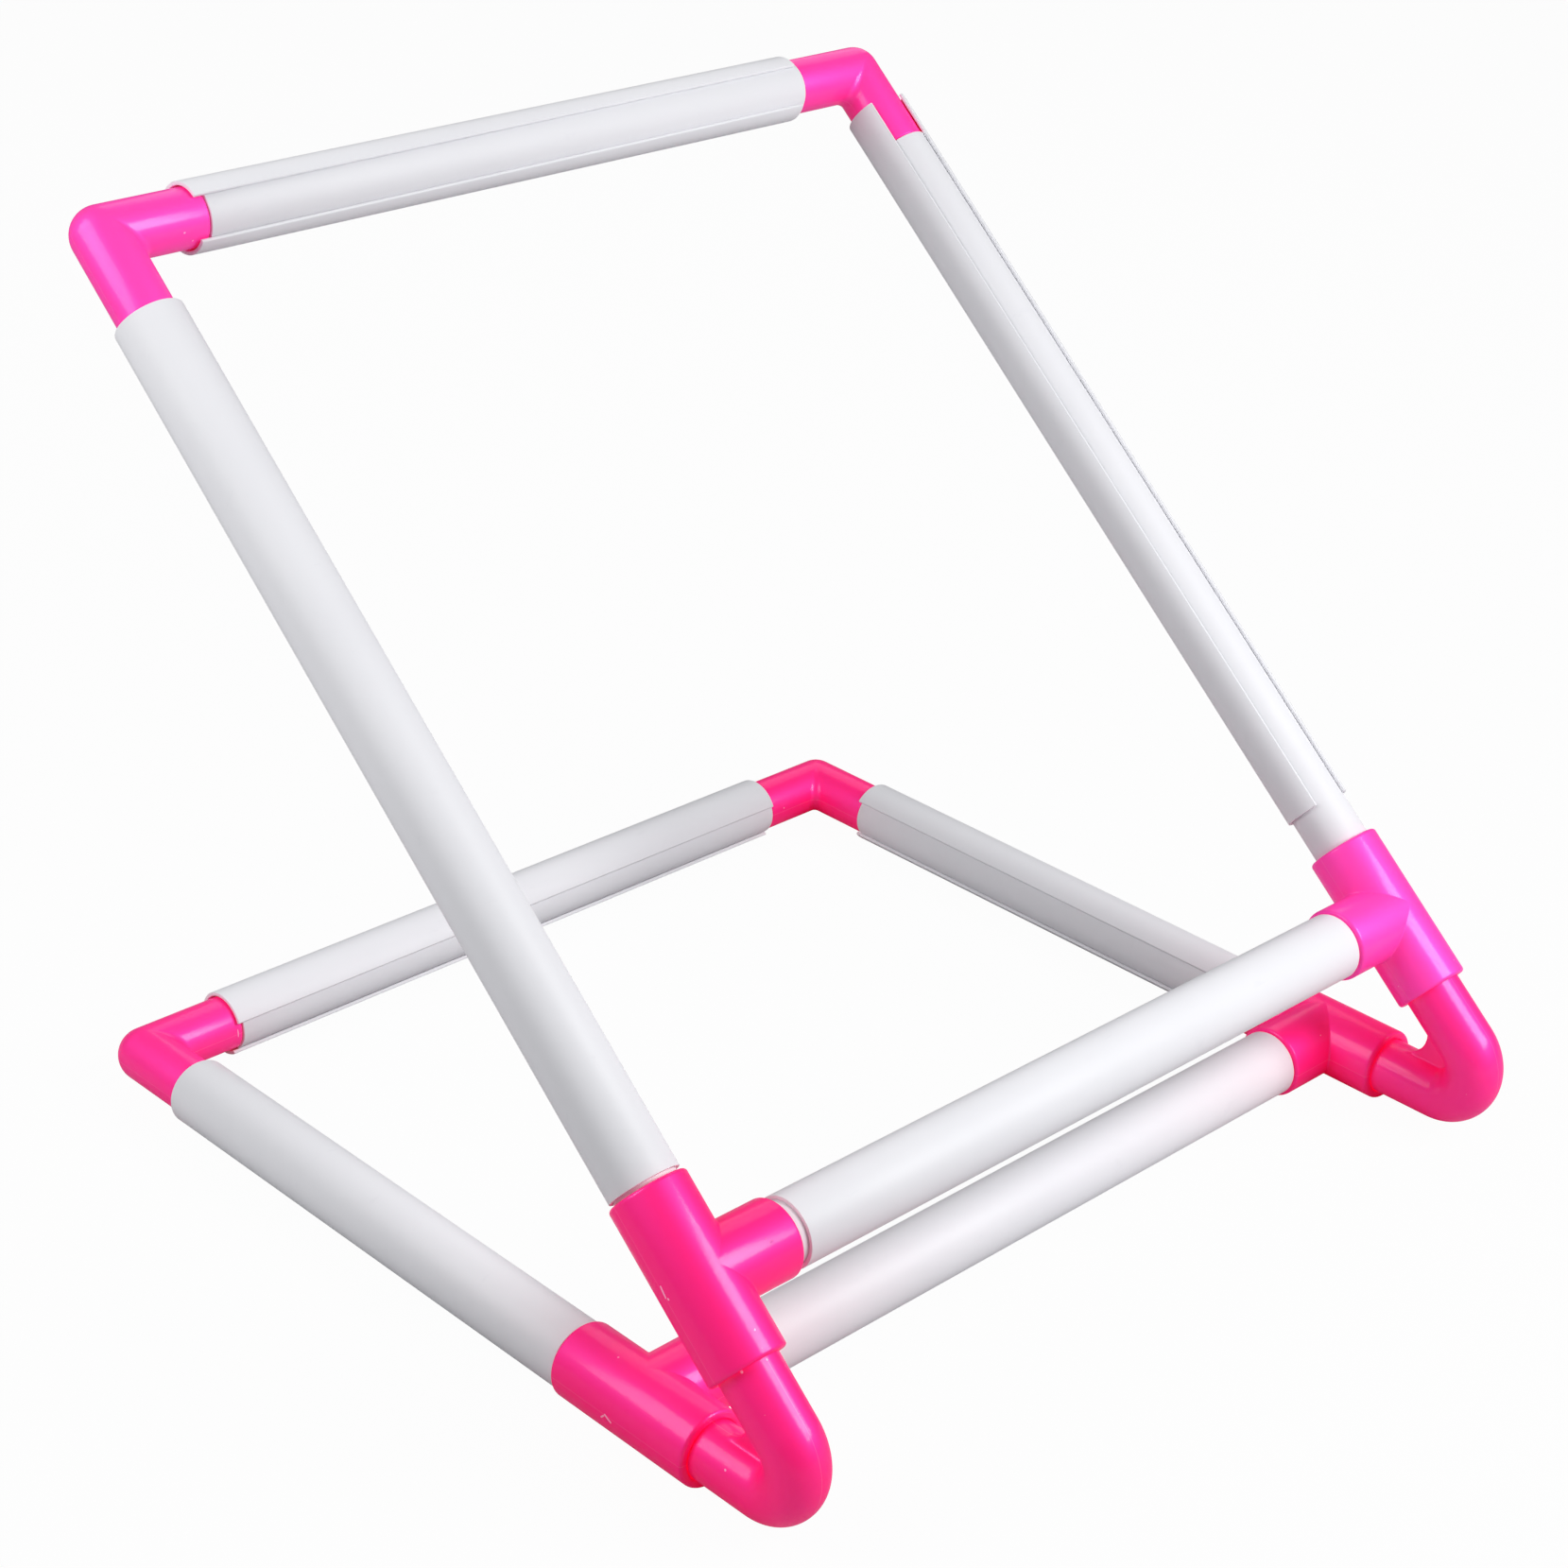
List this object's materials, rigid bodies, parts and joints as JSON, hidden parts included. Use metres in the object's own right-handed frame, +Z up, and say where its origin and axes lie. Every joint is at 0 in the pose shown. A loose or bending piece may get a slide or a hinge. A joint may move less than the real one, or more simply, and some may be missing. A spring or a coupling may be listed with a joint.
{
  "type": "clip embroidery frame",
  "caption": "Slanted embroidery frame of plastic tube on a flat base frame, with pink moulded fittings and springy clips that grip the cloth along each tube.",
  "frame": {"origin": "centre of the bounding box in plan, on the plane that the base tees rest on", "axes": "+X along the rails from left to right as the user sits, +Y away from the user towards the rear rail, +Z up"},
  "size_m": [0.343, 0.3383, 0.3117],
  "materials": {
    "white_tube": "satin white extruded tube",
    "white_clip": "semi-gloss white extruded clip",
    "pink_fitting": "semi-gloss hot pink moulding"
  },
  "bodies": {
    "stand": {"top_tube": "white_tube", "bottom_tube": "white_tube", "left_side_tube": "white_tube", "right_side_tube": "white_tube", "rear_base_tube": "white_tube", "front_base_tube": "white_tube", "left_base_tube": "white_tube", "right_base_tube": "white_tube", "top_left_elbow": "pink_fitting", "top_right_elbow": "pink_fitting", "rear_left_elbow": "pink_fitting", "rear_right_elbow": "pink_fitting", "upper_left_tee": "pink_fitting", "upper_right_tee": "pink_fitting", "base_left_tee": "pink_fitting", "base_right_tee": "pink_fitting", "left_hairpin": "pink_fitting", "right_hairpin": "pink_fitting"},
    "top_clip": {"top_clip": "white_clip"},
    "bottom_clip": {"bottom_clip": "white_clip"},
    "left_clip": {"left_clip": "white_clip"},
    "right_clip": {"right_clip": "white_clip"},
    "rear_base_clip": {"rear_base_clip": "white_clip"},
    "front_base_clip": {"front_base_clip": "white_clip"},
    "left_base_clip": {"left_base_clip": "white_clip"},
    "right_base_clip": {"right_base_clip": "white_clip"}
  },
  "joints": [
    {"name": "top_clip_turn", "type": "hinge", "parent": "stand", "child": "top_clip", "pos_m": [0, 0.15435, 0.30014], "axis": [1, 0, 0], "continuous": true},
    {"name": "bottom_clip_turn", "type": "hinge", "parent": "stand", "child": "bottom_clip", "pos_m": [0, -0.11725, 0.06736], "axis": [1, 0, 0], "continuous": true},
    {"name": "left_clip_turn", "type": "hinge", "parent": "stand", "child": "left_clip", "pos_m": [-0.159, -0.11725, 0.06736], "axis": [0, 0.7593, 0.6508], "continuous": true},
    {"name": "right_clip_turn", "type": "hinge", "parent": "stand", "child": "right_clip", "pos_m": [0.159, -0.11725, 0.06736], "axis": [0, 0.7593, 0.6508], "continuous": true},
    {"name": "rear_base_clip_turn", "type": "hinge", "parent": "stand", "child": "rear_base_clip", "pos_m": [0, 0.15775, 0.0125], "axis": [1, 0, 0], "continuous": true},
    {"name": "front_base_clip_turn", "type": "hinge", "parent": "stand", "child": "front_base_clip", "pos_m": [0, -0.09695, 0.0125], "axis": [1, 0, 0], "continuous": true},
    {"name": "left_base_clip_turn", "type": "hinge", "parent": "stand", "child": "left_base_clip", "pos_m": [-0.159, 0.01875, 0.0125], "axis": [0, 1, 0], "continuous": true},
    {"name": "right_base_clip_turn", "type": "hinge", "parent": "stand", "child": "right_base_clip", "pos_m": [0.159, 0.01875, 0.0125], "axis": [0, 1, 0], "continuous": true}
  ]
}
